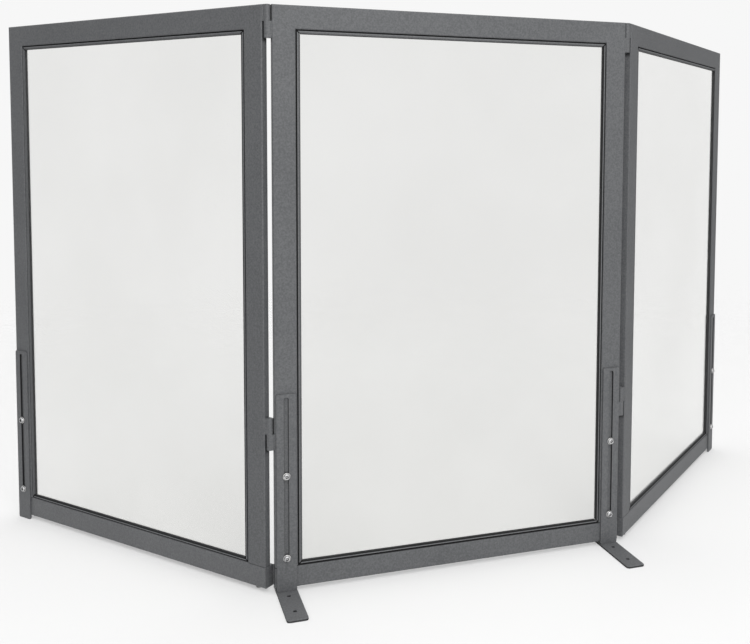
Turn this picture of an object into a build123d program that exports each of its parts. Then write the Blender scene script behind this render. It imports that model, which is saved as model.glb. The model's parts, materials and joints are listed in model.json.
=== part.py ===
from build123d import *
import os
from math import cos, radians, sin

# A free-standing fireplace screen: three glazed steel panels of one size, the two wings hung from the
# centre panel on lift-off barrel hinges, and four slotted legs that set the height. All sizes are in
# millimetres. +Z is up, +X runs along the centre panel, and the screen's front faces -Y. The origin is
# on the floor, in the middle of the space that the standing screen takes up.

# Panels: stiles and top rail are one section of tube, the bottom rail is a deeper one under them
panel_width = 609.6
panel_height = 914.4
frame_face = 36.5
frame_depth = 12.7
rail_height = 34.5
rail_depth = 19.05
tube_wall = 1.5
tube_corner = 2.0
cap_thickness = 1.5
bare_edge = 0.4

# Glazing: an angle at the back, a rubber channel round the glass, and a mitred bead in front
glass_thickness = 4.0
stop_thickness = 2.2
stop_width = 5.0
stop_recess = 2.7
stop_inset = 1.7
bead_width = 4.4
bead_recess = 1.0
bead_bevel = 0.9
gasket_lip = 0.8
gasket_base = 1.0
gasket_show = 0.6
mitre_gap = 0.8

# Screws that hold the bottom rail to a threaded plug in each stile
rail_screw_radius = 3.0
rail_screw_head_radius = 5.0
rail_screw_head_height = 2.6
plug_height = 9.0
plug_fit = 0.1
thread_fit = 0.05
hole_fit = 0.3

# Hinges: two per wing, the wing's knuckle resting on the centre panel's
left_fold = 49.6
right_fold = 40.5
hinge_gap = 11.8
barrel_radius = 5.2
knuckle_height = 25.4
knuckle_round = 1.2
knuckle_gap = 0.1
lower_hinge_height = 249.0
pin_radius = 2.5
pin_fit = 0.05
pin_engagement = 20.0
bore_relief = 2.0

# Legs: flat bar with a long slot, clamped by two screws to the front of a stile
strip_width = 31.75
strip_thickness = 3.2
strip_corner = 3.0
strip_drop = 4.0
strip_end = 5.5
slide_gap = 0.1
slot_width = 7.0
clamp_height = 49.5
clamp_spacing = 132.0
leg_travel = 122.0
foot_width = 33.0
foot_thickness = 3.2
foot_front_reach = 98.0
foot_back_reach = 31.0
foot_corner = 5.0
anchor_radius = 3.2
anchor_front = 70.0
anchor_spacing = 50.8

# Clamp screws, their washers, and the rivet nuts that they screw into
clamp_radius = 3.0
clamp_head_radius = 5.3
clamp_head_height = 3.3
clamp_head_round = 2.2
clamp_grip = 8.5
socket_flats = 4.0
socket_depth = 1.9
washer_radius = 6.0
washer_thickness = 1.1
nut_radius = 4.5
nut_length = 9.0
nut_bulb_radius = 5.8
nut_bulb_length = 3.0

# Heights and depths that follow
frame_lift = strip_drop + foot_thickness
slot_length = clamp_spacing + leg_travel + slot_width
slot_bottom = clamp_height - slot_width / 2
strip_top = slot_bottom + slot_length + strip_end
clamp_heights = (clamp_height, clamp_height + clamp_spacing)
stile_middles = (frame_face / 2, panel_width - frame_face / 2)
stop_back_face = frame_depth - stop_inset
stop_front_face = stop_back_face - stop_thickness
glass_back = stop_front_face - gasket_lip
glass_front = glass_back - glass_thickness
bead_back = glass_front - gasket_lip
glass_inset = stop_thickness + gasket_base
front_lip_width = bead_width + gasket_show
back_lip_width = stop_width - stop_thickness + gasket_show / 2
strip_front = slide_gap + strip_thickness
washer_seat = strip_front + slide_gap
head_seat = washer_seat + washer_thickness
shank_length = head_seat + clamp_grip

# Plan of the standing screen, with the origin in the middle of the space it takes up
hinge_reach = hinge_gap / 2
hinge_depth = frame_depth / 2
hinge_offset = panel_width / 2 + hinge_reach
wing_reach = hinge_reach + panel_width
strip_reach = wing_reach - (frame_face - strip_width) / 2


def side_extent(fold):
    """Distance from the centre panel's middle to a wing's outermost leg, for the wing's fold."""
    return hinge_offset + strip_reach * cos(radians(fold)) + (hinge_depth + strip_front) * sin(radians(fold))


def back_extent(fold):
    """Distance from the centre panel's front face back to a wing's rearmost corner."""
    rail_behind = rail_depth - hinge_depth
    return hinge_depth + wing_reach * sin(radians(fold)) + rail_behind * cos(radians(fold))


centre_x = (side_extent(left_fold) - side_extent(right_fold)) / 2
front_y = (foot_front_reach - max(back_extent(left_fold), back_extent(right_fold))) / 2
left_axis = Vector(centre_x - hinge_offset, front_y + hinge_depth, frame_lift)
right_axis = Vector(centre_x + hinge_offset, front_y + hinge_depth, frame_lift)

# Each panel is drawn on its own front plane: x along the panel from its left edge, y up, z to the front
centre_corner = Vector(centre_x - panel_width / 2, front_y, frame_lift)
centre_face = Plane(origin=centre_corner, x_dir=(1, 0, 0), z_dir=(0, -1, 0))
left_run = Vector(cos(radians(left_fold)), -sin(radians(left_fold)), 0)
left_front = Vector(-sin(radians(left_fold)), -cos(radians(left_fold)), 0)
left_corner = left_axis - left_run * wing_reach + left_front * hinge_depth
left_face = Plane(origin=left_corner, x_dir=left_run, z_dir=left_front)
right_run = Vector(cos(radians(right_fold)), sin(radians(right_fold)), 0)
right_front = Vector(sin(radians(right_fold)), -cos(radians(right_fold)), 0)
right_corner = right_axis + right_run * hinge_reach + right_front * hinge_depth
right_face = Plane(origin=right_corner, x_dir=right_run, z_dir=right_front)


def at(face, along, up, depth=0.0):
    """Point of a panel: along it from the left, up from its lower edge, back from its front face."""
    return face.from_local_coords((along, up, -depth))


def level(face, along, up, depth=0.0):
    """Level plane at a point of a panel, with x along the panel and y towards its back."""
    return Plane(origin=at(face, along, up, depth), x_dir=face.x_dir, z_dir=(0, 0, 1))


def crosswise(face, along, up, depth=0.0):
    """Plane that cuts across a panel at a point, with x towards its back, y up and z along it."""
    return Plane(origin=at(face, along, up, depth), x_dir=-face.z_dir, z_dir=face.x_dir)


def corner_mitre(face, along, lean):
    """Plane of a welded top corner, facing up and, for a lean of 1, to the right."""
    return Plane(origin=at(face, along, panel_height), z_dir=face.y_dir + face.x_dir * lean)


def finish(piece, name):
    """Label a finished piece and write it."""
    piece.part.label = name
    export_step(piece.part, f"parts/{name}.step")


def tube_section(width, height):
    """Outline of a hollow tube with rounded corners, from its lower left corner."""
    RectangleRounded(width, height, tube_corner, align=(Align.MIN, Align.MIN))
    offset(amount=-tube_wall, mode=Mode.SUBTRACT)


def make_stile(face, middle, lean, carries_leg):
    """Upright tube, mitred at the top, and drilled for rivet nuts where it carries a leg."""
    with BuildPart() as stile:
        with BuildSketch(level(face, middle - frame_face / 2, rail_height)):
            tube_section(frame_face, frame_depth)
        extrude(amount=panel_height - rail_height)
        outer_edge = middle - lean * frame_face / 2
        split(bisect_by=corner_mitre(face, outer_edge, lean), keep=Keep.BOTTOM)
        if carries_leg:
            with BuildSketch(face):
                with Locations(*[(middle, height) for height in clamp_heights]):
                    Circle(nut_radius + thread_fit)
            extrude(amount=-tube_wall, mode=Mode.SUBTRACT)
    return stile


def make_top_rail(face):
    """Level tube that closes the top of the frame, mitred at both ends."""
    with BuildPart() as rail:
        with BuildSketch(crosswise(face, 0, panel_height - frame_face)):
            tube_section(frame_depth, frame_face)
        extrude(amount=panel_width)
        split(bisect_by=corner_mitre(face, 0, 1), keep=Keep.TOP)
        split(bisect_by=corner_mitre(face, panel_width, -1), keep=Keep.TOP)
    return rail


def make_bottom_rail(face):
    """Deeper tube under the stiles, drilled from below for the screws that hold it."""
    with BuildPart() as rail:
        with BuildSketch(crosswise(face, cap_thickness, 0)):
            tube_section(rail_depth, rail_height)
        extrude(amount=panel_width - 2 * cap_thickness)
        with BuildSketch(level(face, 0, 0)):
            with Locations(*[(middle, hinge_depth) for middle in stile_middles]):
                Circle(rail_screw_radius + hole_fit)
        extrude(amount=rail_height, mode=Mode.SUBTRACT)
    return rail


def make_rail_end_caps(face):
    """Two plates that close the bottom rail's ends."""
    with BuildPart() as caps:
        for along in (0, panel_width - cap_thickness):
            with BuildSketch(crosswise(face, along, 0)):
                RectangleRounded(rail_depth, rail_height, tube_corner, align=(Align.MIN, Align.MIN))
            extrude(amount=cap_thickness)
    return caps


def make_stile_plugs(face):
    """Threaded blocks welded into the lower ends of the stiles."""
    plug_width = frame_face - 2 * (tube_wall + plug_fit)
    plug_depth = frame_depth - 2 * (tube_wall + plug_fit)
    with BuildPart() as plugs:
        with BuildSketch(level(face, 0, rail_height)):
            with Locations(*[(middle, hinge_depth) for middle in stile_middles]):
                RectangleRounded(plug_width, plug_depth, tube_corner - tube_wall)
                Circle(rail_screw_radius + thread_fit, mode=Mode.SUBTRACT)
        extrude(amount=plug_height)
    return plugs


def make_rail_screws(face):
    """Low-headed screws that pass up through the bottom rail into the plugs."""
    seats = [(middle, hinge_depth) for middle in stile_middles]
    with BuildPart() as screws:
        with BuildSketch(level(face, 0, 0)):
            with Locations(*seats):
                Circle(rail_screw_head_radius)
        extrude(amount=-rail_screw_head_height)
        with BuildSketch(level(face, 0, 0)):
            with Locations(*seats):
                Circle(rail_screw_radius)
        extrude(amount=rail_height + plug_height)
        chamfer(screws.edges().group_by(Axis.Z)[0], bare_edge)
    return screws


def stop_section():
    """Angle that carries the glass: one leg on the frame, the other behind the glass."""
    with Locations((0, -stop_back_face)):
        Rectangle(stop_thickness, stop_back_face - stop_recess, align=(Align.MIN, Align.MIN))
        Rectangle(stop_width, stop_thickness, align=(Align.MIN, Align.MIN))


def bead_section():
    """Small bar in front of the glass, bevelled towards it."""
    inner = stop_thickness + bead_width
    Polygon(
        (stop_thickness, -bead_back),
        (inner, -bead_back),
        (inner, -bead_recess - bead_bevel),
        (inner - bead_bevel, -bead_recess),
        (stop_thickness, -bead_recess),
        align=None,
    )


def gasket_section():
    """Rubber channel that wraps the edge of the glass."""
    with Locations((stop_thickness, -stop_front_face)):
        Rectangle(gasket_base, stop_front_face - bead_back, align=(Align.MIN, Align.MIN))
        Rectangle(back_lip_width, gasket_lip, align=(Align.MIN, Align.MIN))
    with Locations((stop_thickness, -glass_front)):
        Rectangle(front_lip_width, gasket_lip, align=(Align.MIN, Align.MIN))


def make_ring(face, draw_section):
    """Four mitred bars round a panel's opening.

    The section is drawn with x from the frame towards the glass and y from the back to the front.
    """
    corners = [
        (frame_face, rail_height),
        (panel_width - frame_face, rail_height),
        (panel_width - frame_face, panel_height - frame_face),
        (frame_face, panel_height - frame_face),
    ]
    bars = []
    for start, end in zip(corners, corners[1:] + corners[:1]):
        start_point = at(face, *start)
        end_point = at(face, *end)
        run = (end_point - start_point).normalized()
        inward = face.z_dir.cross(run)
        with BuildPart() as bar:
            with BuildSketch(Plane(origin=start_point, x_dir=inward, z_dir=run)):
                draw_section()
            extrude(amount=(end_point - start_point).length)
            start_mitre = Plane(origin=start_point, z_dir=run - inward)
            split(bisect_by=start_mitre.offset(mitre_gap / 2), keep=Keep.TOP)
            end_mitre = Plane(origin=end_point, z_dir=-run - inward)
            split(bisect_by=end_mitre.offset(mitre_gap / 2), keep=Keep.TOP)
        bars.append(bar.part)
    with BuildPart() as ring:
        add(bars)
    return ring


def make_glass(face):
    """Clear pane, held on all four sides by the rubber channel."""
    pane_width = panel_width - 2 * (frame_face + glass_inset)
    pane_height = panel_height - rail_height - frame_face - 2 * glass_inset
    with BuildPart() as pane:
        with BuildSketch(face.offset(-glass_front)):
            with Locations((frame_face + glass_inset, rail_height + glass_inset)):
                Rectangle(pane_width, pane_height, align=(Align.MIN, Align.MIN))
        extrude(amount=-glass_thickness)
    return pane


def make_rivet_nuts(face, seats):
    """Threaded sleeves set in the front wall of a stile, bulged behind it."""
    with BuildPart() as nuts:
        with BuildSketch(face):
            with Locations(*seats):
                Circle(nut_radius)
        extrude(amount=-nut_length)
        with BuildSketch(face.offset(-tube_wall)):
            with Locations(*seats):
                Circle(nut_bulb_radius)
        extrude(amount=-nut_bulb_length)
        with BuildSketch(face):
            with Locations(*seats):
                Circle(clamp_radius + thread_fit)
        extrude(amount=-nut_length, mode=Mode.SUBTRACT)
    return nuts


def make_washers(face, seats):
    """Plain washers between the leg and the heads of the clamp screws."""
    with BuildPart() as washers:
        with BuildSketch(face.offset(washer_seat)):
            with Locations(*seats):
                Circle(washer_radius)
                Circle(clamp_radius + hole_fit, mode=Mode.SUBTRACT)
        extrude(amount=washer_thickness)
    return washers


def make_clamp_screws(face, seats):
    """Button-headed socket screws that clamp a leg's slot to its stile."""
    outward = Axis(face.origin, face.z_dir)
    with BuildPart() as screws:
        with BuildSketch(face.offset(head_seat)):
            with Locations(*seats):
                Circle(clamp_head_radius)
        extrude(amount=clamp_head_height)
        fillet(screws.edges().group_by(outward)[-1], clamp_head_round)
        with BuildSketch(face.offset(head_seat)):
            with Locations(*seats):
                Circle(clamp_radius)
        extrude(amount=-shank_length)
        with BuildSketch(face.offset(head_seat + clamp_head_height)):
            with Locations(*seats):
                RegularPolygon(socket_flats / 2, 6, major_radius=False)
        extrude(amount=-socket_depth, mode=Mode.SUBTRACT)
    return screws


def make_knuckle(axis_foot, to_stile, bottom, is_upper):
    """Hinge barrel with a pad that is welded to a stile's edge.

    The upper knuckle is bored from below and stays closed at the top, and the lower one is bored
    right through.
    """
    base = Plane(origin=axis_foot + Vector(0, 0, bottom), x_dir=to_stile, z_dir=(0, 0, 1))
    bore_depth = pin_engagement + bore_relief if is_upper else knuckle_height
    with BuildPart() as knuckle:
        with BuildSketch(base):
            Circle(barrel_radius)
            Rectangle(hinge_reach, 2 * barrel_radius, align=(Align.MIN, Align.CENTER))
        extrude(amount=knuckle_height)
        end_edges = knuckle.edges().group_by(Axis.Z)[-1 if is_upper else 0]
        fillet(end_edges.sort_by(Axis(axis_foot, to_stile))[:-1], knuckle_round)
        with BuildSketch(base):
            Circle(pin_radius + pin_fit)
        extrude(amount=bore_depth, mode=Mode.SUBTRACT)
    return knuckle


def make_pins(axis_foot, joints):
    """The hinge pins of one wing, each standing in a lower knuckle and reaching into an upper one."""
    with BuildPart() as pins:
        for joint in joints:
            pin_foot = axis_foot + Vector(0, 0, joint - knuckle_height)
            with BuildSketch(Plane(origin=pin_foot, z_dir=(0, 0, 1))):
                Circle(pin_radius)
            extrude(amount=knuckle_height + pin_engagement)
    return pins


def make_strip(face, middle, bottom):
    """Slotted flat bar of a leg, from its lower end to just above the slot."""
    outward = Axis(face.origin, face.z_dir)
    with BuildPart() as strip:
        with BuildSketch(face.offset(slide_gap)):
            with Locations((middle, (strip_top + bottom) / 2)):
                RectangleRounded(strip_width, strip_top - bottom, strip_corner)
            with Locations((middle, slot_bottom + slot_length / 2)):
                SlotOverall(slot_length, slot_width, rotation=90, mode=Mode.SUBTRACT)
        extrude(amount=strip_thickness)
        chamfer(strip.edges().group_by(outward)[-1], bare_edge)
    return strip


def make_foot(face, middle):
    """Flat plate across the lower end of a leg, with two holes that fasten it to the hearth."""
    length = foot_front_reach + foot_back_reach
    with BuildPart() as foot:
        with BuildSketch(level(face, middle, -frame_lift)):
            with Locations((0, foot_back_reach - length / 2)):
                RectangleRounded(foot_width, length, foot_corner)
            with Locations((0, -anchor_front), (0, anchor_spacing - anchor_front)):
                Circle(anchor_radius, mode=Mode.SUBTRACT)
        extrude(amount=foot_thickness)
        chamfer(foot.faces().sort_by(Axis.Z)[-1].outer_wire().edges(), bare_edge)
    return foot


os.makedirs("parts", exist_ok=True)

# Panels, each with its legs' screws. leg_sides tells which of its two stiles carry a leg.
panels = {
    "left_wing": (left_face, (True, False)),
    "centre": (centre_face, (True, True)),
    "right_wing": (right_face, (False, True)),
}
for panel, (face, leg_sides) in panels.items():
    finish(make_stile(face, stile_middles[0], 1, leg_sides[0]), f"{panel}_left_stile")
    finish(make_stile(face, stile_middles[1], -1, leg_sides[1]), f"{panel}_right_stile")
    finish(make_top_rail(face), f"{panel}_top_rail")
    finish(make_bottom_rail(face), f"{panel}_bottom_rail")
    finish(make_rail_end_caps(face), f"{panel}_rail_end_caps")
    finish(make_stile_plugs(face), f"{panel}_stile_plugs")
    finish(make_rail_screws(face), f"{panel}_rail_screws")
    finish(make_ring(face, stop_section), f"{panel}_glazing_stops")
    finish(make_ring(face, gasket_section), f"{panel}_glass_gasket")
    finish(make_ring(face, bead_section), f"{panel}_glazing_beads")
    finish(make_glass(face), f"{panel}_glass")
    leg_middles = [middle for middle, carries in zip(stile_middles, leg_sides) if carries]
    seats = [(middle, height) for middle in leg_middles for height in clamp_heights]
    finish(make_rivet_nuts(face, seats), f"{panel}_rivet_nuts")
    finish(make_washers(face, seats), f"{panel}_clamp_washers")
    finish(make_clamp_screws(face, seats), f"{panel}_clamp_screws")

# Hinges: the wing's knuckle stands on the centre panel's at each joint
hinge_joints = {"upper": panel_height - knuckle_height, "lower": lower_hinge_height}
hinge_sides = {
    "left": (left_axis, -left_run, centre_face.x_dir),
    "right": (right_axis, right_run, -centre_face.x_dir),
}
for side, (axis_foot, to_wing, to_centre) in hinge_sides.items():
    for place, joint in hinge_joints.items():
        seat = joint - knuckle_height - knuckle_gap
        finish(make_knuckle(axis_foot, to_wing, joint, True), f"{side}_{place}_hinge_wing_knuckle")
        finish(make_knuckle(axis_foot, to_centre, seat, False), f"{side}_{place}_hinge_centre_knuckle")
    finish(make_pins(axis_foot, hinge_joints.values()), f"{side}_hinge_pins")

# Legs: the centre panel's stand on feet, and the wings' are plain bars down to the floor
finish(make_strip(left_face, stile_middles[0], -frame_lift), "left_wing_leg_strip")
finish(make_strip(right_face, stile_middles[1], -frame_lift), "right_wing_leg_strip")
for side, middle in zip(("left", "right"), stile_middles):
    finish(make_strip(centre_face, middle, -strip_drop), f"centre_{side}_leg_strip")
    finish(make_foot(centre_face, middle), f"centre_{side}_foot_plate")
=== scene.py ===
import json
import math

import bpy
import numpy as np
from mathutils import Matrix, Vector


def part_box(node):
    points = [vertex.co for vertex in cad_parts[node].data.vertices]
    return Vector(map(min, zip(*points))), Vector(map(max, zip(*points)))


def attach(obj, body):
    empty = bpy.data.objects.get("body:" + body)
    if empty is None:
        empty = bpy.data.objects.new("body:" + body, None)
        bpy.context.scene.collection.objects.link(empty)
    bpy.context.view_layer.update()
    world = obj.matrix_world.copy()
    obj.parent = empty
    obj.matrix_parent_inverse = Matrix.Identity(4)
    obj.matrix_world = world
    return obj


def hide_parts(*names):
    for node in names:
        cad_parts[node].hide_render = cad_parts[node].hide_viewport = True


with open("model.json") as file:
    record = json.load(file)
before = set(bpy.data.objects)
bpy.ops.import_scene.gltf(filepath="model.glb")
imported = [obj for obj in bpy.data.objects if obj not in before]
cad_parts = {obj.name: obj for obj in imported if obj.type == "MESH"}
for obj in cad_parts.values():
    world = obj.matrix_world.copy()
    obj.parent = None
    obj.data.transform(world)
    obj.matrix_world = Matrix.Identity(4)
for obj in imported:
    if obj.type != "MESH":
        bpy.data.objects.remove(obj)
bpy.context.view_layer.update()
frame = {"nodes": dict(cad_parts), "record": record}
nodes = frame["nodes"]
scene = bpy.context.scene


# Frames of the three panels. The stiles and top rails are rectangular steel tube, mitred, welded and
# ground flush at the top corners. A deeper tube closes the bottom, with a plate welded into each end.
# All of it is sprayed with a dark grey powder coat that bakes to a fine, slightly pebbled skin.
panels = {"left_wing": "left_wing", "centre": "centre_frame", "right_wing": "right_wing"}  # their bodies
joints = {joint["name"]: joint for joint in frame["record"]["behaviour"]["joints"]}
hinge_axes = {side: tuple(joints[f"{side}_wing_fold"]["pos_m"]) for side in ("left", "right")}
pebble_height = 0.00005
seam_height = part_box("centre_left_stile")[0].z - 0.0002
seam_fade = (0.0002, 0.0011)
hinge_edge_fade = (0.0071, 0.0076)
below_knuckle = (0.009, 0.001)
above_knuckle = 0.001


class Flow:
    """One output of a finish's nodes. Sums on it add the nodes that work them out."""

    def __init__(self, tree, socket=None):
        self.tree = tree
        self.socket = socket

    def node(self, kind, settings=None, sockets=None, out=0):
        """Adds a node: its type, its settings, and a value or a flow for each socket that is named."""
        made = self.tree.nodes.new(kind)
        for name, value in (settings or {}).items():
            setattr(made, name, value)
        for name, value in (sockets or {}).items():
            if isinstance(value, Flow):
                self.tree.links.new(value.socket, made.inputs[name])
            else:
                made.inputs[name].default_value = value
        return Flow(self.tree, made.outputs[out] if made.outputs else None)

    def math(self, operation, first, second=0.0):
        """Adds a Math node on two values or flows."""
        return self.node("ShaderNodeMath", {"operation": operation}, {0: first, 1: second})

    def vector_math(self, operation, other=(0.0, 0.0, 0.0), out="Vector"):
        """Adds a Vector Math node on this flow and another vector."""
        return self.node("ShaderNodeVectorMath", {"operation": operation}, {0: self, 1: other}, out=out)

    def along(self, direction):
        """How far this vector reaches along a unit vector, their dot product."""
        return self.vector_math("DOT_PRODUCT", direction, "Value")

    def length(self):
        """The length of this vector."""
        return self.vector_math("LENGTH", out="Value")

    def coordinate(self, letter):
        """X, Y or Z of this vector."""
        return self.node("ShaderNodeSeparateXYZ", None, {"Vector": self}, out=letter)

    def __add__(self, other):
        return self.math("ADD", self, other)

    __radd__ = __add__

    def __sub__(self, other):
        return self.math("SUBTRACT", self, other)

    def __rsub__(self, other):
        return self.math("SUBTRACT", other, self)

    def __mul__(self, other):
        return self.math("MULTIPLY", self, other)

    __rmul__ = __mul__

    def between(self, low, high):
        """0 below low, 1 above high, and a smooth rise from one to the other."""
        settings = {"interpolation_type": "SMOOTHSTEP"}
        wanted = {"Value": self, "From Min": low, "From Max": high}
        return self.node("ShaderNodeMapRange", settings, wanted)

    def tone(self, dark, light):
        """The colour between two colours that this share picks."""
        settings = {"data_type": "RGBA", "clamp_factor": True}
        picked = {"Factor": self, 6: (*dark, 1.0), 7: (*light, 1.0)}
        return self.node("ShaderNodeMix", settings, picked, out=2)

    def noise(self, place, per_metre, detail=2.0, roughness=0.5):
        """Cloudy pattern from 0 to 1, with so many lumps to the metre."""
        settings = {"noise_dimensions": "3D"}
        wanted = {"Vector": place, "Scale": per_metre, "Detail": detail, "Roughness": roughness}
        return self.node("ShaderNodeTexNoise", settings, wanted)

    def relief(self, height, distance, under=None):
        """Normal of a surface raised by height times distance, in metres, over the relief under it."""
        wanted = {"Height": height, "Distance": distance}
        if under is not None:
            wanted["Normal"] = under
        return self.node("ShaderNodeBump", None, wanted)


def new_finish(name):
    """An empty finish, the flow that starts its nodes, and the place on the piece in metres."""
    finish = bpy.data.materials.new(name)
    finish.use_nodes = True
    finish.node_tree.nodes.clear()
    start = Flow(finish.node_tree)
    place = start.node("ShaderNodeTexCoord", out="Object")
    return finish, start, place


def coat_with(start, sockets, painted_shade_or_grime=None):
    """Ends a finish in one shader with these sockets, and a matt black of painted shade or grime over it
    where that share is above 0.
    """
    shader = start.node("ShaderNodeBsdfPrincipled", None, sockets)
    if painted_shade_or_grime is not None:
        matt = start.node("ShaderNodeBsdfDiffuse", None, {"Color": (0.01, 0.01, 0.01, 1.0)})
        shader = start.node("ShaderNodeMixShader", None, {0: painted_shade_or_grime, 1: shader, 2: matt})
    start.node("ShaderNodeOutputMaterial", None, {"Surface": shader})


def powder_coat(name, dark, light, pebble, shaded=None):
    """Baked powder: pebbles of so many metres' height on a swell like orange peel, and mottled tones.

    shaded works out the share, from 0 to 1, of painted shade, a matt black laid over the powder.
    """
    finish, start, place = new_finish(name)
    pebbles = start.noise(place, per_metre=1500, detail=3.0, roughness=0.6)
    swell = start.noise(place, per_metre=230, detail=1.0)
    mottle = start.noise(place, per_metre=360, roughness=0.6)
    film = start.noise(place, per_metre=7)
    shade = 0.7 * mottle + 0.14 * pebbles + 0.16 * film
    peel = start.relief(swell, 0.00006)
    coat_with(
        start,
        {
            "Base Color": shade.between(0.3, 0.7).tone(dark, light),
            "Roughness": 0.44 + 0.16 * pebbles,
            "Normal": start.relief(pebbles, pebble, peel),
            "IOR": 1.5,
        },
        None if shaded is None else shaded(start, place),
    )
    return finish


def dress(finish, *names):
    """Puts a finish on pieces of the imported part."""
    for name in names:
        nodes[name].data.materials[0] = finish


def seam_and_hinge_painted_shade(start, place):
    """Painted shade: a dark line where the stiles stand on the bottom rail, and dark on their edges beside
    the hinges.

    Seen from above, the stiles' edges at a hinge lie nearer to its axis than any other place on them.
    """
    height = place.coordinate("Z")
    off_seam = start.math("ABSOLUTE", height - seam_height)
    painted_shade_or_grime = 0.8 * (1.0 - off_seam.between(*seam_fade))
    for side, axis in hinge_axes.items():
        from_axis = place.vector_math("SUBTRACT", axis).vector_math("MULTIPLY", (1.0, 1.0, 0.0))
        near = 0.7 * (1.0 - from_axis.length().between(*hinge_edge_fade))
        for level in ("upper", "lower"):
            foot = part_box(f"{side}_{level}_hinge_centre_knuckle")[0].z
            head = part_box(f"{side}_{level}_hinge_wing_knuckle")[1].z
            past_foot = height.between(foot - below_knuckle[0], foot - below_knuckle[1])
            past_head = height.between(head, head + above_knuckle)
            painted_shade_or_grime = start.math("MAXIMUM", painted_shade_or_grime, near * (past_foot - past_head))
    return painted_shade_or_grime


# The frame's powder carries painted shade along the seam on the bottom rail and beside the hinges.
frame_coat = powder_coat(
    "frame_powder_coat", (0.074, 0.077, 0.081), (0.122, 0.125, 0.13), pebble_height, seam_and_hinge_painted_shade
)

# The bottom rails of the wings take a paler copy of the powder, painted light for the brighter light on
# them.
rail_coat_painted_light = powder_coat(
    "rail_powder_coat_painted_light", (0.086, 0.089, 0.093), (0.14, 0.143, 0.148), pebble_height
)
for panel in panels:
    dress(frame_coat, f"{panel}_left_stile", f"{panel}_right_stile", f"{panel}_top_rail")
    bottom_coat = frame_coat if panel == "centre" else rail_coat_painted_light
    dress(bottom_coat, f"{panel}_bottom_rail", f"{panel}_rail_end_caps")


# Glazing of each panel. Rolled steel angles are welded inside the opening to carry the pane from
# behind, and small mitred bars hold it from the front. Both are sprayed with the frame, so the powder
# is a little thinner and smoother on them. The bars take a paler copy of the powder, a painted
# highlight for the light they catch, and both carry painted shade round the pane.
pane_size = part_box("centre_glass")[1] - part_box("centre_glass")[0]
groove_fade = (0.001, 0.0022)
mitre_fade = (0.0009, 0.0018)
wall_fade = (-0.0011, -0.0006)
shaded_side_fade = (-0.004, -0.003)


def directions(panel):
    """Unit vectors along a panel, up, and out of its front, as the rows of an array.

    A pane of width w and thickness t that is turned by an angle fills a box of w cos + t sin by
    w sin + t cos. The centre's box gives w and t, and so the wing's box gives cos and sin.
    """
    width, thickness, _ = pane_size
    low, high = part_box(f"{panel}_glass")
    across, deep, _ = high - low
    turned = Vector((width * across - thickness * deep, width * deep - thickness * across))
    turned.normalize()
    lean = -turned.y if panel == "left_wing" else turned.y
    return np.array([(turned.x, lean, 0), (0, 0, 1), (lean, -turned.x, 0)])


def middle_of(node):
    """The middle of a piece's box."""
    low, high = (np.array(corner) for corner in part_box(node))
    return (low + high) / 2


def groove_painted_shade(panel):
    """How much painted shade darkens a panel's stops in front of the pane, in the groove beside the beads.
    """
    front = directions(panel)[2]
    middle = float(middle_of(f"{panel}_glass") @ front)

    def shaded(start, place):
        depth = place.along(front) - middle
        return 0.95 * depth.between(*groove_fade)

    return shaded


def bead_painted_shade(panel):
    """How much painted shade darkens a panel's beads beside the gaps of their mitres and on their
    walls round the pane.

    With s and t the distances from the pane's middle along it and up, a mitre is where |s| - |t| is
    half the pane's width less half its height. The walls are the beads' innermost part, and the walls
    of the right and the lower bead get the most painted shade.
    """
    run = directions(panel)[0]
    middle = middle_of(f"{panel}_glass")
    half_width, _, half_height = pane_size / 2

    def shaded(start, place):
        sideways = place.along(run) - float(middle @ run)
        upwards = place.coordinate("Z") - float(middle[2])
        past_side = start.math("ABSOLUTE", sideways) - half_width
        past_end = start.math("ABSOLUTE", upwards) - half_height
        off_mitre = start.math("ABSOLUTE", past_side - past_end).between(*mitre_fade)
        wall = 1.0 - start.math("MAXIMUM", past_side, past_end).between(*wall_fade)
        to_right_or_low = start.math("MAXIMUM", sideways - half_width, -1.0 * upwards - half_height)
        wall = wall * (0.35 + 0.65 * to_right_or_low.between(*shaded_side_fade))
        return 0.9 * start.math("MAXIMUM", 1.0 - off_mitre, wall)

    return shaded


for panel in panels:
    # The beads' powder is a paler copy of the frame's, a painted highlight, with painted shade at the
    # mitres and round the pane; the stops' powder carries painted shade in the groove.
    bead_coat_painted_highlight = powder_coat(
        f"{panel}_bead_powder_coat_painted_highlight",
        dark=(0.09, 0.093, 0.097),
        light=(0.144, 0.147, 0.152),
        pebble=0.00003,
        shaded=bead_painted_shade(panel),
    )
    stop_coat = powder_coat(
        f"{panel}_stop_powder_coat",
        dark=(0.07, 0.073, 0.077),
        light=(0.114, 0.117, 0.122),
        pebble=0.00004,
        shaded=groove_painted_shade(panel),
    )
    dress(stop_coat, f"{panel}_glazing_stops")
    dress(bead_coat_painted_highlight, f"{panel}_glazing_beads")


# Gasket round each pane: a channel of black extruded rubber, with the fine lines of the die along it
# and a bloom of dust that dulls it in patches.
rubber, start, place = new_finish("gasket_rubber_black")
die_lines = start.noise(place, per_metre=900)
bloom = start.noise(place, per_metre=40, detail=3.0).between(0.45, 0.75)
coat_with(
    start,
    {
        "Base Color": bloom.tone((0.03, 0.03, 0.031), (0.06, 0.06, 0.06)),
        "Roughness": 0.55 + 0.25 * bloom,
        "Normal": start.relief(die_lines, 0.00002),
    },
)
for panel in panels:
    dress(rubber, f"{panel}_glass_gasket")


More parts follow.
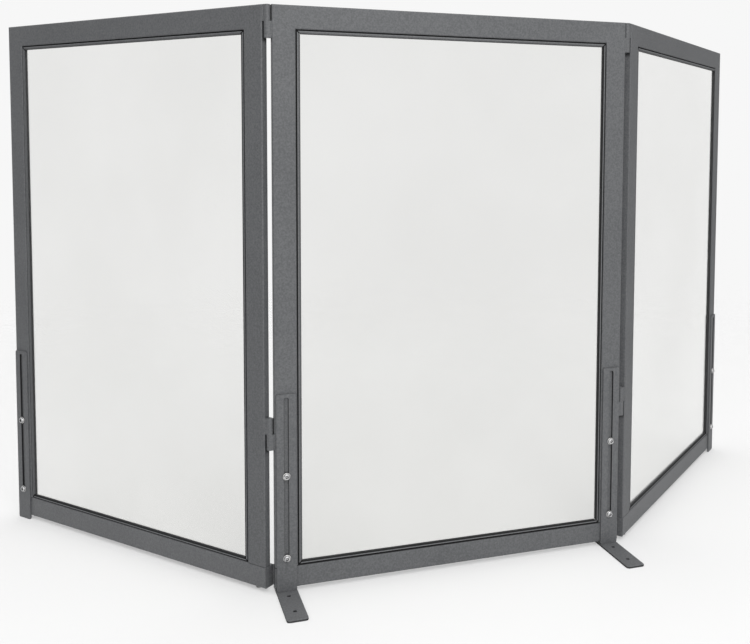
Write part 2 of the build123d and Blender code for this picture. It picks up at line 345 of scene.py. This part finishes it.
# Panes: 4 mm clear tempered glass. It takes a little light and carries a thin, cloudy film of dust,
# and rays from the lamps pass through it with the same loss, as they do through a real pane.
pane_glass, start, place = new_finish("tempered_clear_glass")
film = start.noise(place, per_metre=2.6, detail=3.0, roughness=0.55).between(0.3, 0.7)
clear = start.node(
    "ShaderNodeBsdfPrincipled",
    None,
    {
        "Base Color": film.tone((0.836, 0.836, 0.823), (0.876, 0.876, 0.865)),
        "Roughness": 0.0,
        "IOR": 1.5,
        "Transmission Weight": 1.0,
    },
)
shaded = start.node("ShaderNodeBsdfTransparent", None, {"Color": (0.9, 0.9, 0.89, 1.0)})
lamp_ray = start.node("ShaderNodeLightPath", out="Is Shadow Ray")
bounced_ray = start.node("ShaderNodeLightPath", out="Is Diffuse Ray")
passing = start.math("MAXIMUM", lamp_ray, bounced_ray)
pane = start.node("ShaderNodeMixShader", None, {0: passing, 1: clear, 2: shaded})
start.node("ShaderNodeOutputMaterial", None, {"Surface": pane})
for panel in panels:
    dress(pane_glass, f"{panel}_glass")


# Screws that hold each bottom rail, and the threaded plugs that they bite into. The plugs are sawn
# from bar and keep their mill skin. The low heads under the rail are zinc plated and dulled by handling.
mill_steel, start, place = new_finish("plug_mill_steel")
scale_marks = start.noise(place, per_metre=300, detail=3.0, roughness=0.6)
coat_with(
    start,
    {
        "Base Color": scale_marks.between(0.3, 0.7).tone((0.2, 0.2, 0.205), (0.42, 0.42, 0.42)),
        "Roughness": 0.35 + 0.3 * scale_marks,
        "Metallic": 1.0,
        "Normal": start.relief(scale_marks, 0.00002),
    },
)


def zinc_plate(name, dark, light, polish, grimy_or_shaded=False):
    """Zinc over steel: fine spangle, cloudy passivation, and a polish from 0 for dull to 1 for bright.

    A grimy finish is black where the piece's points are marked with grime or painted shade.
    """
    finish, start, place = new_finish(name)
    spangle = start.noise(place, per_metre=1400)
    passivation = start.noise(place, per_metre=260, detail=3.0, roughness=0.6).between(0.35, 0.65)
    grime_and_painted_shade = None
    if grimy_or_shaded:
        grime_and_painted_shade = start.node("ShaderNodeAttribute", {"attribute_name": "grime_and_painted_shade"}, out="Fac")
    coat_with(
        start,
        {
            "Base Color": passivation.tone(dark, light),
            "Roughness": (0.42 - 0.24 * polish) + 0.16 * spangle,
            "Metallic": 1.0,
            "Normal": start.relief(spangle, 0.00001),
        },
        grime_and_painted_shade,
    )
    return finish


dull_zinc = zinc_plate("dull_zinc_plate", (0.14, 0.14, 0.14), (0.26, 0.26, 0.255), polish=0.1)
for panel in panels:
    dress(mill_steel, f"{panel}_stile_plugs")
    dress(dull_zinc, f"{panel}_rail_screws", f"{panel}_rivet_nuts")


# Clamp screws of the legs: button heads of M6 screws with a hexagon socket, a turned dome and a rolled
# thread. Each head pulls a stamped washer with rounded edges down on the slotted bar.
washer_radius = 0.006
washer_bore = 0.0033
washer_round = 0.0004
bore_break = 0.0002
washer_sides = 64
screw_sides = 48
tip_radius = 0.0018
shank_radius = 0.003
thread_pitch = 0.001
thread_depth = 0.0005
thread_margin = 0.0006
neck_length = 0.0004
head_radius = 0.0053
crown_radius = 0.0027
skirt_height = 0.0008
edge_break = 0.0003
socket_flats = 0.004
socket_lip = 0.0027
socket_break = 0.0004
socket_depth = 0.0019
socket_dip = 0.0003
rows_past_thread = 17
thread_grime = 0.4
# Painted shade in the socket, row by row: its lip, upper wall, lower wall and floor.
socket_painted_shade = (0.15, 0.8, 1.0, 0.3)
washer_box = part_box("centre_clamp_washers")
screw_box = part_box("centre_clamp_screws")
washer_thickness = washer_box[1].y - washer_box[0].y
head_height = washer_box[0].y - screw_box[0].y
shank_length = screw_box[1].y - washer_box[0].y


def skin(rings, looped):
    """Points and faces of a closed shape, from a grid of rings of points.

    Corner j of ring i is joined to corner j + 1 and to ring i + 1 by a square. The corners of a ring run
    anticlockwise as seen from the next ring. The last ring is joined to the first, or else a fan of
    triangles about each end ring's middle closes the shape.
    """
    count, sides = rings.shape[:2]
    index = np.arange(count * sides).reshape(count, sides)
    lower = index if looped else index[:-1]
    upper = np.roll(index, -1, 0) if looped else index[1:]
    squares = np.stack([lower, np.roll(lower, -1, 1), np.roll(upper, -1, 1), upper], -1)
    squares = squares.reshape(-1, 4)
    points = rings.reshape(-1, 3)
    if looped:
        return points, squares.tolist()
    points = np.vstack([points, rings[0].mean(0), rings[-1].mean(0)])
    middles = np.full(sides, count * sides)
    first = np.stack([middles, np.roll(index[0], -1), index[0]], -1)
    last = np.stack([middles + 1, index[-1], np.roll(index[-1], -1)], -1)
    return points, squares.tolist() + first.tolist() + last.tolist()


def new_piece(name, skins, finish, crease=40, grime_and_painted_shade=None):
    """One object from several closed shapes, smooth but for edges sharper than the crease in degrees.

    grime marks the points of each shape with grime and painted shade, from 0 for clean to 1 for black.
    """
    points = np.vstack([points for points, _ in skins])
    firsts = np.cumsum([0] + [len(points) for points, _ in skins[:-1]])
    faces = []
    for (_, shape_faces), first in zip(skins, firsts):
        faces += [[corner + first for corner in face] for face in shape_faces]
    mesh = bpy.data.meshes.new(name)
    mesh.from_pydata(points.tolist(), [], faces)
    mesh.polygons.foreach_set("use_smooth", np.ones(len(mesh.polygons), dtype=bool))
    mesh.set_sharp_from_angle(angle=math.radians(crease))
    mesh.materials.append(finish)
    if grime_and_painted_shade is not None:
        marks = mesh.attributes.new("grime_and_painted_shade", "FLOAT", "POINT")
        marks.data.foreach_set("value", np.tile(grime_and_painted_shade, len(skins)))
    piece = bpy.data.objects.new(name, mesh)
    scene.collection.objects.link(piece)
    return piece


def screw_rings(turn):
    """Rings of a button-headed screw about the outward axis, from its tip at z < 0 to its socket's floor.

    The dome is r = rim - (rim - crown) (1 - cos a), z = skirt + (height - skirt) sin a. The thread lowers
    the radius by depth |2 f - 1|, where f is the fraction of z / pitch - angle / 2 pi. The socket is a
    hexagon of r = half the distance of its flats / cos(angle from the middle of the nearest flat).
    """
    angle = np.linspace(0, 2 * np.pi, screw_sides, endpoint=False)
    thread_z = np.arange(-shank_length + thread_margin, -thread_margin, thread_pitch / 4)[:, None]
    fraction = (thread_z / thread_pitch - angle / (2 * np.pi)) % 1.0
    thread = shank_radius - thread_depth * np.abs(2 * fraction - 1)
    rise = np.linspace(0, np.pi / 2, 9)[:, None]
    dome_r = head_radius - (head_radius - crown_radius) * (1 - np.cos(rise))
    dome_z = skirt_height + (head_height - skirt_height) * np.sin(rise)
    flat_turn = (angle + np.pi / 6) % (np.pi / 3) - np.pi / 6
    hexagon = socket_flats / 2 / np.cos(flat_turn)
    level = np.ones_like(angle)
    rows = [(tip_radius * level, -shank_length * level)]
    rows += zip(thread, np.broadcast_to(thread_z, thread.shape))
    rows += [(shank_radius * level, -neck_length * level)]
    rows += [((shank_radius + edge_break) * level, 0.0 * level)]
    rows += [((head_radius - edge_break) * level, 0.0 * level)]
    rows += [(head_radius * level, edge_break * level)]
    rows += zip(dome_r * level, dome_z * level)
    rows += [(socket_lip * level, head_height * level)]
    rows += [(hexagon, (head_height - socket_break) * level)]
    rows += [(hexagon, (head_height - socket_depth) * level)]
    rows += [(0.45 * hexagon, (head_height - socket_depth - socket_dip) * level)]
    radius, height = (np.array(column) for column in zip(*rows))
    return np.stack([radius * np.cos(angle + turn), radius * np.sin(angle + turn), height], -1)


def screw_grime_and_shade(rings):
    """Grime and painted shade on each point of a screw: grime fills the thread, and painted shade darkens
    the socket, less on its floor.
    """
    marks = np.zeros(rings.shape[:2])
    marks[1:-rows_past_thread] = thread_grime
    marks[-len(socket_painted_shade):] = np.array(socket_painted_shade)[:, None]
    end_middles = [0.0, 0.0]
    return np.concatenate([marks.ravel(), end_middles])


def washer_rings():
    """Rings of a stamped washer about the outward axis, its two outer edges rounded."""
    angle = np.linspace(0, 2 * np.pi, washer_sides, endpoint=False)
    rounding = np.linspace(-np.pi / 2, np.pi / 2, 7)
    round_r = washer_radius - washer_round + washer_round * np.cos(rounding)
    round_z = -washer_thickness / 2 + (washer_thickness / 2) * np.sin(rounding)
    bore_r = [washer_bore + bore_break, washer_bore, washer_bore, washer_bore + bore_break]
    bore_z = [0.0, -bore_break, bore_break - washer_thickness, -washer_thickness]
    radius = np.concatenate([round_r, bore_r])[:, None]
    height = np.concatenate([round_z, bore_z])[:, None]
    columns = np.broadcast_arrays(radius * np.cos(angle), radius * np.sin(angle), height)
    return np.stack(columns, -1)


washer_zinc = zinc_plate("bright_zinc_plate", (0.62, 0.62, 0.61), (0.86, 0.85, 0.83), polish=0.8)
screw_zinc = zinc_plate(
    "screw_zinc_plate", (0.42, 0.42, 0.43), (0.66, 0.66, 0.66), polish=1.0, grimy_or_shaded=True
)
grime_and_painted_shade = screw_grime_and_shade(screw_rings(0))
for panel, body in panels.items():
    axes = directions(panel)
    low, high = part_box(f"{panel}_clamp_washers")
    seat = middle_of(f"{panel}_clamp_washers") + axes[2] * washer_thickness / 2
    columns = (seat[0],)
    if panel == "centre":
        columns = (low.x + washer_radius, high.x - washer_radius)
    levels = (low.z + washer_radius, high.z - washer_radius)
    seats = [np.array((x, seat[1], z)) for x in columns for z in levels]
    screws = []
    washers = []
    for order, spot in enumerate(seats):
        turn = 0.4 + 2.4 * order + len(panel)
        screws.append(skin(spot + screw_rings(turn) @ axes, looped=False))
        washers.append(skin(spot + washer_rings() @ axes, looped=True))
    screw_piece = new_piece(f"{panel}_detailed_clamp_screws", screws, screw_zinc, grime_and_painted_shade=grime_and_painted_shade)
    washer_piece = new_piece(f"{panel}_detailed_clamp_washers", washers, washer_zinc)
    for piece, name in ((screw_piece, "clamp_screws"), (washer_piece, "clamp_washers")):
        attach(piece, body)
        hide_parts(f"{panel}_{name}")


# Hinges: barrels of steel, each with a pad that is welded to the stile's edge. The wing's barrels rest
# on the centre panel's and turn on steel pins, whose lathe marks show when a wing is lifted.
hinge_coat = powder_coat(
    "hinge_powder_coat", (0.076, 0.079, 0.083), (0.124, 0.127, 0.132), pebble_height
)
turned_steel, start, place = new_finish("pin_turned_steel")
lathe = {"Vector": place, "Scale": 2500.0, "Distortion": 0.4}
lathe_marks = start.node("ShaderNodeTexWave", {"bands_direction": "Z"}, lathe, out="Fac")
coat_with(
    start,
    {
        "Base Color": lathe_marks.tone((0.46, 0.46, 0.455), (0.56, 0.56, 0.55)),
        "Roughness": 0.24 + 0.12 * lathe_marks,
        "Metallic": 1.0,
        "Normal": start.relief(lathe_marks, 0.000004),
    },
)
for side in ("left", "right"):
    for level in ("upper", "lower"):
        dress(hinge_coat, f"{side}_{level}_hinge_wing_knuckle", f"{side}_{level}_hinge_centre_knuckle")
    dress(turned_steel, f"{side}_hinge_pins")


# Welds that fill the corners between the hinges' pads and the rounded edges of the stiles, in front and
# behind. They are run by hand, so that each is a row of overlapping ripples, and painted with the rest.
ripple_pitch = 0.0022
ripple_height = 0.07
weld_sides = 20
weld_steps = 97
hinge_weld_radius = 0.0015
weld_margin = 0.0016
weld_overlap = 0.0003
weld_setback = 0.0008
knuckle_low, knuckle_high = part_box("left_upper_hinge_centre_knuckle")
barrel_radius = (knuckle_high.y - knuckle_low.y) / 2
stile_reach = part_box("centre_left_stile")[0].x - hinge_axes["left"][0]


def weld_rings(start, end, radius):
    """Rings of a weld from one point to another, half of it sunk in the corner that it fills.

    The radius is r (1 + height cos 2 pi (s / pitch - 0.3 cos angle)), where s is the way along the
    weld, times the fourth root of 1 - (2 s / length - 1)^8, which rounds its ends.
    """
    start, end = np.array(start), np.array(end)
    length = np.linalg.norm(end - start)
    forward = (end - start) / length
    side = np.cross(forward, (0, 0, 1) if abs(forward[2]) < 0.5 else (0, 1, 0))
    side /= np.linalg.norm(side)
    way = (0.5 - 0.5 * np.cos(np.linspace(0.04, np.pi - 0.04, weld_steps)))[:, None] * length
    angle = np.linspace(0, 2 * np.pi, weld_sides, endpoint=False)
    ripple = 1 + ripple_height * np.cos(2 * np.pi * (way / ripple_pitch - 0.3 * np.cos(angle)))
    size = radius * ripple * (1 - (2 * way / length - 1) ** 8) ** 0.25
    across = np.cos(angle)[:, None] * side + np.sin(angle)[:, None] * np.cross(forward, side)
    return start + way[:, :, None] * forward + size[:, :, None] * across


for side, outward in (("left", -1), ("right", 1)):
    for part, panel, heading in (("wing", f"{side}_wing", outward), ("centre", "centre", -outward)):
        run, up, front = directions(panel)
        axis = np.array(hinge_axes[side]) * (1, 1, 0)
        edge = axis + heading * (stile_reach - weld_overlap) * run
        for level in ("upper", "lower"):
            low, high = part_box(f"{side}_{level}_hinge_{part}_knuckle")
            welds = []
            for face in (1, -1):
                corner = edge + face * (barrel_radius - weld_setback) * front
                bottom = corner + (low.z + weld_margin) * up
                top = corner + (high.z - weld_margin) * up
                welds.append(skin(weld_rings(bottom, top, hinge_weld_radius), looped=False))
            piece = new_piece(f"{side}_{level}_hinge_{part}_welds", welds, hinge_coat, crease=60)
            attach(piece, panels[panel])


# Legs: slotted flat bar, the centre panel's two welded upright on flat foot plates. Painted shade
# darkens the walls of the slots and the sheared edges of the feet, and the feet take a paler copy of
# the powder, painted light on them.
slot_half_width = 0.0035
above_slot = 0.0055
slot_wall_fade = (slot_half_width + 0.0001, slot_half_width + 0.0004)
foot_rim_fade = (0.0024, 0.003)


def slot_painted_shade(leg, panel):
    """How much painted shade darkens a leg on the walls of its slot, which lie half its width from the
    slot's middle line.

    That line ends half a width short of the slot's ends, which are round.
    """
    run = directions(panel)[0]
    middle = float(middle_of(leg) @ run)
    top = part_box(leg)[1].z - above_slot - slot_half_width
    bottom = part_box(f"{panel}_clamp_washers")[0].z + washer_radius

    def shaded(start, place):
        height = place.coordinate("Z")
        past_end = start.math("MAXIMUM", height - top, bottom - height)
        past_end = start.math("MAXIMUM", past_end, 0.0)
        beside = place.along(run) - middle
        from_line = start.node("ShaderNodeCombineXYZ", None, {"X": beside, "Y": past_end})
        return 0.85 * (1.0 - from_line.length().between(*slot_wall_fade))

    return shaded


def foot_edge_painted_shade(start, place):
    """How much painted shade darkens a foot below its upper rim."""
    return 0.75 * (1.0 - place.coordinate("Z").between(*foot_rim_fade))


legs = {
    "left_wing_leg_strip": "left_wing",
    "centre_left_leg_strip": "centre",
    "centre_right_leg_strip": "centre",
    "right_wing_leg_strip": "right_wing",
}
for leg, panel in legs.items():
    # Each leg's powder carries painted shade on the walls of its slot.
    leg_coat = powder_coat(
        f"{leg}_powder_coat",
        dark=(0.076, 0.079, 0.083),
        light=(0.124, 0.127, 0.132),
        pebble=pebble_height,
        shaded=slot_painted_shade(leg, panel),
    )
    dress(leg_coat, leg)
# The feet's powder is a paler copy, painted light, with painted shade on their edges.
foot_coat_painted_light = powder_coat(
    "foot_powder_coat_painted_light", (0.09, 0.093, 0.097), (0.146, 0.149, 0.154), pebble_height, foot_edge_painted_shade
)
dress(foot_coat_painted_light, "centre_left_foot_plate", "centre_right_foot_plate")


# Weld of each foot, which joins the plate to the bar in the corner behind it, where the frame hides it.
# It is run by hand from one edge of the bar to the other, and painted with the foot.
foot_weld_radius = 0.0017
foot_weld_margin = 0.002
foot_weld_lift = 0.0002
for side in ("left", "right"):
    bar_low, bar_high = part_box(f"centre_{side}_leg_strip")
    plate_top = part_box(f"centre_{side}_foot_plate")[1].z
    behind_bar = bar_high.y + foot_weld_lift
    on_plate = plate_top + foot_weld_lift
    one_edge = (bar_low.x + foot_weld_margin, behind_bar, on_plate)
    other_edge = (bar_high.x - foot_weld_margin, behind_bar, on_plate)
    weld = skin(weld_rings(one_edge, other_edge, foot_weld_radius), looped=False)
    piece = new_piece(f"centre_{side}_foot_weld", [weld], foot_coat_painted_light, crease=60)
    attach(piece, f"centre_{side}_leg")


# The set: a pale floor that fades away a few metres out and isn't seen from below, an even backdrop,
# soft daylight that differs from side to side, and one large soft lamp high in front. The camera
# stands a little to the left of the screen at chest height.
floor_reach = 6.0
floor_share = 0.65
fade_start = 1.0
fade_end = 2.8
speckle = 1.4
corners = [(x * floor_reach, y * floor_reach, 0.0) for x, y in ((-1, -1), (1, -1), (1, 1), (-1, 1))]
floor_mesh = bpy.data.meshes.new("floor")
floor_mesh.from_pydata(corners, [], [(0, 1, 2, 3)])
floor = bpy.data.objects.new("floor", floor_mesh)
scene.collection.objects.link(floor)
pale, start, place = new_finish("pale_floor")
matt = start.node("ShaderNodeBsdfDiffuse", None, {"Color": (0.87, 0.87, 0.87, 1.0)})
open_air = start.node("ShaderNodeBsdfTransparent")
speck = start.node("ShaderNodeTexWhiteNoise", {"noise_dimensions": "3D"}, {"Vector": place}, out="Value")
distance = place.length() + speckle * speck - speckle / 2
fading = 1.0 - floor_share * (1.0 - distance.between(fade_start, fade_end))
underside = start.node("ShaderNodeNewGeometry", out="Backfacing")
fading = start.math("MAXIMUM", fading, underside)
ground = start.node("ShaderNodeMixShader", None, {0: fading, 1: matt, 2: open_air})
start.node("ShaderNodeOutputMaterial", None, {"Surface": ground})
floor_mesh.materials.append(pale)

side_glow = 0.36
front_glow = 1.12
backdrop_glow = 0.93
ceiling_glow = 1.2
sky = bpy.data.worlds.new("studio_white")
sky.use_nodes = True
sky.node_tree.nodes.clear()
air = Flow(sky.node_tree)
look = air.node("ShaderNodeTexCoord", out="Generated")
backwards = look.coordinate("Y")
upwards = look.coordinate("Z")
direct_ray = air.node("ShaderNodeLightPath", out="Is Camera Ray")
pane_ray = air.node("ShaderNodeLightPath", out="Is Singular Ray")
seen = air.math("MAXIMUM", direct_ray, pane_ray)
glow = side_glow + (front_glow - side_glow) * (-1.0 * backwards).between(0.2, 0.95)
glow = glow + backwards.between(0.35, 0.65) * (backdrop_glow - glow)
glow = glow + upwards.between(0.3, 0.9) * (ceiling_glow - glow)
glow = glow + seen * (backdrop_glow - glow)
light = air.node("ShaderNodeBackground", None, {"Color": (1.0, 1.0, 1.0, 1.0), "Strength": glow})
air.node("ShaderNodeOutputWorld", None, {"Surface": light})
scene.world = sky

lamp = bpy.data.lights.new("soft_lamp", "AREA")
lamp.size = 1.3
lamp.energy = 26.0
lamp_object = bpy.data.objects.new("soft_lamp", lamp)
lamp_object.location = (-0.3, -2.4, 2.2)
aim = Vector((0.0, 0.0, 0.45)) - lamp_object.location
lamp_object.rotation_euler = aim.to_track_quat("-Z", "Y").to_euler()
scene.collection.objects.link(lamp_object)

camera = bpy.data.cameras.new("camera")
camera.lens = 45.40
camera.sensor_width = 36.0
camera.shift_x = -0.0884
camera.shift_y = -0.1539
camera_object = bpy.data.objects.new("camera", camera)
stand = Matrix.Translation((-0.5689, -1.6477, 0.7106))
turn = Matrix.Rotation(math.radians(-19.109), 4, "Z")
tilt = Matrix.Rotation(math.radians(90.0 - 3.774), 4, "X")
roll = Matrix.Rotation(math.radians(0.303), 4, "Z")
camera_object.matrix_world = stand @ turn @ tilt @ roll
scene.collection.objects.link(camera_object)
scene.camera = camera_object
scene.view_settings.view_transform = "Standard"
